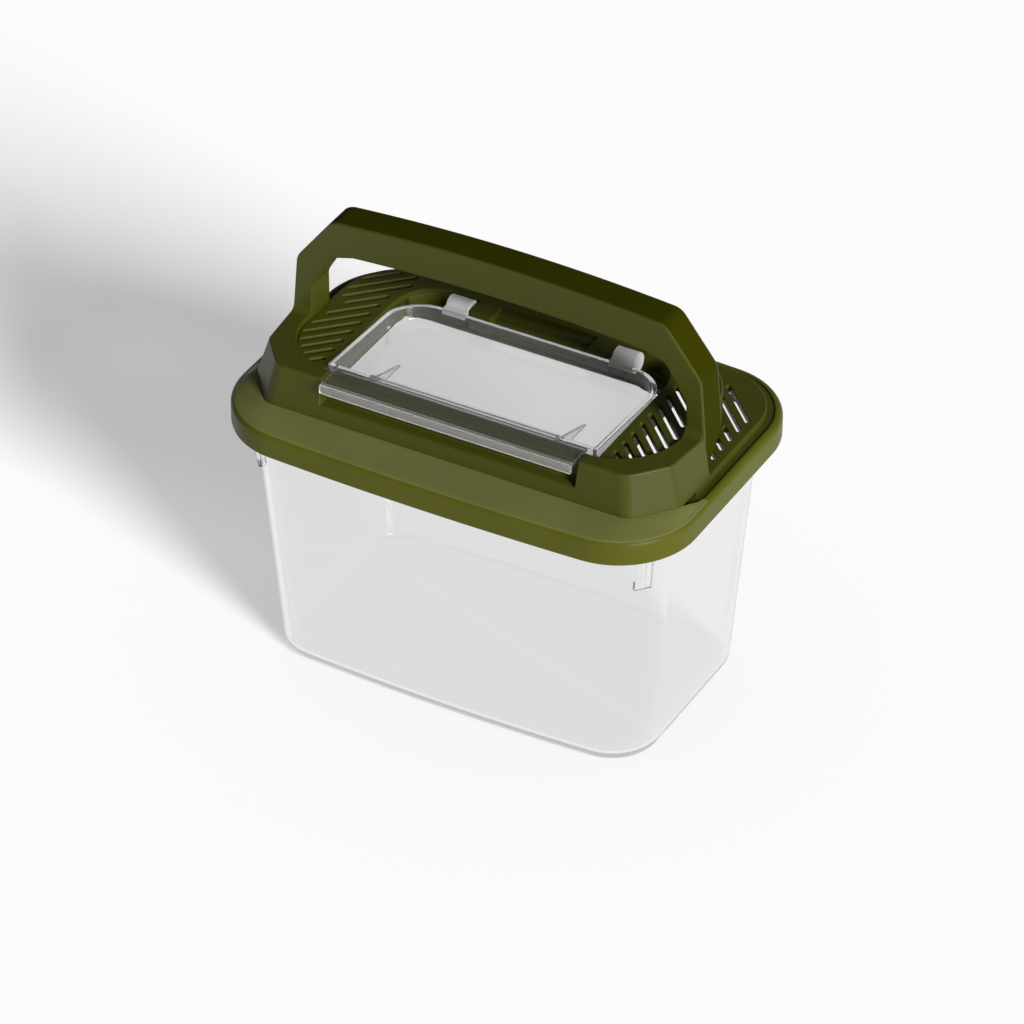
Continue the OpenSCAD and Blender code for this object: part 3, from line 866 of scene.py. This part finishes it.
def make_handle():
    """The arch, with a darker matt band along its outer side."""
    depth = HANDLE_BACK - HANDLE_FRONT
    marks = HANDLE_EDGE + [(depth - y, inset) for y, inset in reversed(HANDLE_EDGE)]
    rings = []
    for y, inset in marks:
        outer, inner = handle_outline(inset)
        rings.append([(x, HANDLE_FRONT + y, z) for x, z in outer + inner])
    arch = loft("carry_handle", rings)
    arch.data.materials.append(OLIVE)
    arch.data.materials.append(OLIVE_DARK_BAND)
    band = (len(HANDLE_EDGE) - 1) * len(rings[0])
    for i in range(len(outer) - 1):
        arch.data.polygons[band + i].material_index = 1
    slope = [(HANDLE_BACK + BEYOND, PLATEAU_Z + BEYOND), (HANDLE_BACK, PLATEAU_Z),
             (HANDLE_BACK - FOOT_SLANT, DECK_Z - BEYOND), (HANDLE_BACK + BEYOND, DECK_Z - BEYOND)]
    cut(arch, mirrored(end_prism("slope", slope, PLATEAU_X - LEG_T, LID_A)))
    curve = [(HANDLE_FRONT + BEYOND, CROWN_Z - BEYOND), (HANDLE_FRONT + BEYOND, CROWN_Z + FLARE)]
    curve += arc(HANDLE_FRONT + 0.02 - FLARE, CROWN_Z + FLARE, FLARE, 0, -90, 8)
    curve += [(HANDLE_FRONT - FLARE, CROWN_Z - BEYOND)]
    fuse(arch, mirrored(end_prism("fillet", curve, PLATEAU_X + 0.05, HANDLE_X - 0.45)))
    place(arch, OLIVE, "lid", "olive_plastic", "handle")


# Hinge shelf, lugs, pins and bar
SIDES = ((-1, "left"), (1, "right"))
# How far a piece runs into its neighbour
BITE = 0.3
PIN_ROOT = 0.5
BAR_STEP = 1.6
BAR_DROP = 1
CLIP_WALL = 1.85
CLIP_END = 1


def make_hinge():
    shelf = prism("hinge_pocket", pocket_plan(PLATE_T), shelf_low.z, PLATEAU_Z - PLATE_T)
    cut(shelf, prism("hollow", pocket_plan(), shelf_low.z + PLATE_T, HANDLE_TOP))
    cut(shelf, block("opening", -POCKET_X, POCKET_X, -LID_B, shelf_low.y, 0, HANDLE_TOP))
    cut(shelf, block("front", -LID_A, LID_A, -LID_B, PLATEAU_FRONT + PLATE_T / 2, 0, HANDLE_TOP))
    soften(shelf, 0.3)
    place(shelf, OLIVE, "lid", "olive_plastic", "hinge_shelf")
    for sign, name in SIDES:
        x0, x1 = on_side(sign, lug_low.x, lug_high.x)
        lug = block("hinge_ear_" + name, x0, x1, lug_low.y, lug_high.y, lug_low.z, lug_high.z)
        soften(lug, 0.8, segments=4)
        place(lug, OLIVE, "lid", "olive_plastic", "hinge_lug_" + name)
        x0, x1 = on_side(sign, pin_low.x - PIN_ROOT, pin_high.x - CLIP_END - 0.3)
        pin = end_prism("hinge_axle_" + name, circle(PIN_Y, PIN_Z, PIN_R), x0, x1)
        soften(pin, 0.25, segments=2, angle=50)
        place(pin, OLIVE, "lid", "olive_plastic", "hinge_pin_" + name)
    step_y, step_z = bar_low.y + BAR_STEP, bar_high.z - BAR_DROP
    section = [(bar_low.y, bar_low.z), (bar_high.y, bar_low.z), (bar_high.y, bar_high.z),
               (step_y, bar_high.z), (step_y, step_z), (bar_low.y, step_z)]
    bar = end_prism("hinge_rail", section, bar_low.x - BITE, bar_high.x + BITE)
    soften(bar, 0.3)
    place(bar, OLIVE, "lid", "olive_plastic", "hinge_bar")


# Door
DOOR_T = 1.4
DOOR_R = 12
TRAY_FRONT = PLATEAU_FRONT + PLATE_T + 0.4
TRAY_FRONT_R = 0.6
TRAY_DRAFT = 0.5
TRAY_LOW_R = 1.2
TRAY_INNER_R = TRAY_LOW_R * 0.6
TRAY_STEPS = 6
RIM_FALL = 2.6
RIDGE_X = 31
RIB_X = 30.3
RIB_T = 0.9
RIB_LENGTH = 17
CLIP_PLAY = 0.06
# Where the clip's outer and inner arcs start and how far they turn, in degrees
CLIP_OUTSIDE = (-50, 230)
CLIP_INSIDE = (218, -256)
CLIP_STEPS = 28
ARM_H = 1.6
ARM_RISE = 0.4


def tray_plan(inset):
    """The tray's outline: nearly square in front and round at the back."""
    x, y0, y1 = DOOR_X - inset, TRAY_FRONT + inset, DOOR_BACK - inset
    r, s = DOOR_R - inset, TRAY_FRONT_R
    return (arc(x - s, y0 + s, s, 270, 90, TRAY_STEPS) + arc(x - r, y1 - r, r, 0, 90, CORNER_STEPS)
            + arc(r - x, y1 - r, r, 90, 90, CORNER_STEPS) + arc(s - x, y0 + s, s, 180, 90, TRAY_STEPS))


def rim_z(y):
    """The height of the tray's rim, which falls towards the hinge."""
    return DOOR_Z - RIM_FALL * (y - TRAY_FRONT) / (DOOR_BACK - TRAY_FRONT)


def tray_base(inset, z, r):
    """Rings of the tray's rounded lower edge, from the bottom up."""
    return [at_height(tray_plan(inset + r * (1 - math.sin(t))), z + r * (1 - math.cos(t)))
            for t in quarter(TRAY_STEPS)]


def make_door():
    """The tray with its flange, its lip and a ridge behind the flange, then the ribs and the clips."""
    floor_z = TRAY_Z + DOOR_T
    outer = tray_base(TRAY_DRAFT, TRAY_Z, TRAY_LOW_R) + [[(x, y, rim_z(y)) for x, y in tray_plan(0)]]
    inner = tray_base(DOOR_T + TRAY_DRAFT, floor_z, TRAY_INNER_R)
    inner.append(at_height(tray_plan(DOOR_T), DOOR_Z + BEYOND))
    tray = loft("door_panel", outer)
    tray.data.materials.append(CLEAR_DOOR)
    cut(tray, loft("hollow", inner))
    soften(tray, 0.25, angle=35)
    flange_x, flange_back = lip_high.x, TRAY_FRONT + 0.8
    flange = block("flange", -flange_x, flange_x, DOOR_FRONT, flange_back, DOOR_Z - DOOR_T, DOOR_Z)
    lip = block("lip", -flange_x, flange_x, lip_low.y, lip_high.y, lip_low.z, DOOR_Z - 0.2)
    flange.data.materials.append(CLEAR_DOOR)
    lip.data.materials.append(CLEAR_LIP)
    fuse(flange, lip)
    soften(flange, 0.3)
    fuse(tray, flange)
    ridge_front, ridge_back = TRAY_FRONT - 0.2, TRAY_FRONT + DOOR_T + 1.2
    ridge = block("ridge", -RIDGE_X, RIDGE_X, ridge_front, ridge_back, DOOR_Z - 3.4, DOOR_Z - 0.6)
    soften(ridge, 0.2, segments=2)
    fuse(tray, ridge)
    place(tray, CLEAR_DOOR, "door", "clear_door", "door_tray", "door_lip")
    y0 = TRAY_FRONT + DOOR_T - BITE
    y1 = y0 + RIB_LENGTH
    section = [(y0, floor_z - BITE), (y1, floor_z - BITE), (y1, floor_z + 0.1), (y0, DOOR_Z - DOOR_T)]
    rib = mirrored(end_prism("door_gussets", section, RIB_X, RIB_X + RIB_T))
    soften(rib, 0.15, segments=2)
    place(rib, CLEAR_DOOR, "door", "clear_door", "door_ribs")
    for sign, name in SIDES:
        make_clip(sign, name)


def make_clip(sign, name):
    """An open hook round the pin, closed by a disc at its end, on an arm from the tray's rim."""
    r = PIN_R + CLIP_PLAY
    out = r + CLIP_WALL
    x0, x1 = on_side(sign, clip_low.x, clip_high.x)
    outside = arc(PIN_Y, PIN_Z, out, *CLIP_OUTSIDE, CLIP_STEPS)
    inside = arc(PIN_Y, PIN_Z, r, *CLIP_INSIDE, CLIP_STEPS)
    clip = end_prism("door_hook_" + name, outside + inside, x0, x1)
    soften(clip, 0.25)
    rim = rim_z(DOOR_BACK)
    y0, y1 = DOOR_BACK - 0.4, PIN_Y - r - 0.5
    arm = end_prism("arm", [(y0, rim - ARM_H), (y1, rim - ARM_H), (y1, rim + ARM_RISE), (y0, rim)], x0, x1)
    x0, x1 = on_side(sign, clip_high.x - CLIP_END, clip_high.x + 0.1)
    disc = end_prism("disc", circle(PIN_Y, PIN_Z, out - 0.05), x0, x1)
    soften(disc, 0.3)
    fuse(clip, arm, disc)
    place(clip, CLEAR_CLIP, "door", "clear_door", "door_clip_" + name)


# Stage
FLOOR_REACH = 3000
WORLD_STRENGTH = 0.1
SUN_STRENGTH = 4.1
SUN_WIDTH = 16
SUN_HEIGHT = 24
SUN_X = 0.89
SUN_Y = -0.46


def glowing_white(nodes, links, grey, glow):
    """A matt grey or white with a glow of its own."""
    pale = nodes.new("ShaderNodeBsdfDiffuse")
    pale.inputs["Color"].default_value = (grey, grey, grey, 1)
    light = nodes.new("ShaderNodeEmission")
    light.inputs["Strength"].default_value = glow
    both = nodes.new("ShaderNodeAddShader")
    links.new(pale.outputs["BSDF"], both.inputs[0])
    links.new(light.outputs["Emission"], both.inputs[1])
    return both.outputs["Shader"]


def make_stage():
    """A floor that lights the keeper as plain matt grey, and is seen as white with a glow of its own."""
    r = FLOOR_REACH
    corners = [(-r, -r), (r, -r), (r, r), (-r, r)]
    floor = mesh_object("floor", at_height(corners, 0), [(0, 1, 2, 3)])
    material, nodes, links, shader = new_material("floor_white")
    shader.inputs["Base Color"].default_value = (0.8, 0.8, 0.8, 1)
    shader.inputs["Roughness"].default_value = 0.9
    rays = nodes.new("ShaderNodeLightPath")
    seen = either_of(nodes, links, rays.outputs["Is Camera Ray"], rays.outputs["Is Glossy Ray"])
    plain = glowing_white(nodes, links, grey=0.97, glow=0.36)
    through = glowing_white(nodes, links, grey=0.25, glow=0.7)
    direct = mix_of(nodes, links, seen, shader.outputs["BSDF"], plain)
    surface = mix_of(nodes, links, rays.outputs["Is Transmission Ray"], direct, through)
    links.new(surface, nodes["Material Output"].inputs["Surface"])
    floor.data.materials.append(material)


def make_world():
    """A weak white light from all sides, seen as full white directly and through clear plastic."""
    world = bpy.data.worlds.new("studio")
    bpy.context.scene.world = world
    world.use_nodes = True
    nodes, links = world.node_tree.nodes, world.node_tree.links
    backdrop = nodes["Background"]
    backdrop.inputs["Color"].default_value = (1, 1, 1, 1)
    backdrop.inputs["Strength"].default_value = WORLD_STRENGTH
    white = nodes.new("ShaderNodeBackground")
    white.inputs["Strength"].default_value = 1
    rays = nodes.new("ShaderNodeLightPath")
    seen = either_of(nodes, links, rays.outputs["Is Camera Ray"], rays.outputs["Is Transmission Ray"])
    surface = mix_of(nodes, links, seen, backdrop.outputs["Background"], white.outputs["Background"])
    links.new(surface, nodes["World Output"].inputs["Surface"])


def make_lamps():
    """One soft sun from the right and a little from the front."""
    key = bpy.data.lights.new("key", "SUN")
    key.energy = SUN_STRENGTH
    key.angle = math.radians(SUN_WIDTH)
    lamp = bpy.data.objects.new("key", key)
    height = math.radians(SUN_HEIGHT)
    away = Vector((SUN_X * math.cos(height), SUN_Y * math.cos(height), math.sin(height)))
    lamp.rotation_euler = away.to_track_quat("Z", "Y").to_euler()
    bpy.context.scene.collection.objects.link(lamp)


# Camera, at the photograph's own angle
AZIMUTH = 29.26
ELEVATION = 35.87
DISTANCE = 1768.9
TARGET_Z = 47.9
FOCAL_PX = 6000
FRAME_PX = 1024
CENTRE_PX = (506.4, 516.9)


def make_camera():
    data = bpy.data.cameras.new("camera")
    data.sensor_width = 36
    data.lens = FOCAL_PX / FRAME_PX * data.sensor_width
    data.shift_x = (FRAME_PX / 2 - CENTRE_PX[0]) / FRAME_PX
    data.shift_y = (CENTRE_PX[1] - FRAME_PX / 2) / FRAME_PX
    data.clip_end = 20
    camera = bpy.data.objects.new("camera", data)
    az, el = math.radians(AZIMUTH), math.radians(ELEVATION)
    back = Vector((math.sin(az) * math.cos(el), -math.cos(az) * math.cos(el), math.sin(el)))
    camera.location = (Vector((0, 0, TARGET_Z)) + back * DISTANCE) * MM
    camera.rotation_euler = back.to_track_quat("Z", "Y").to_euler()
    bpy.context.scene.collection.objects.link(camera)
    bpy.context.scene.camera = camera


make_camera()
make_stage()
make_world()
make_lamps()
bpy.context.scene.view_settings.view_transform = "Standard"
make_tank()
make_lid_rim()
make_lid_deck()
make_plateau()
make_crown()
make_handle()
make_hinge()
make_door()
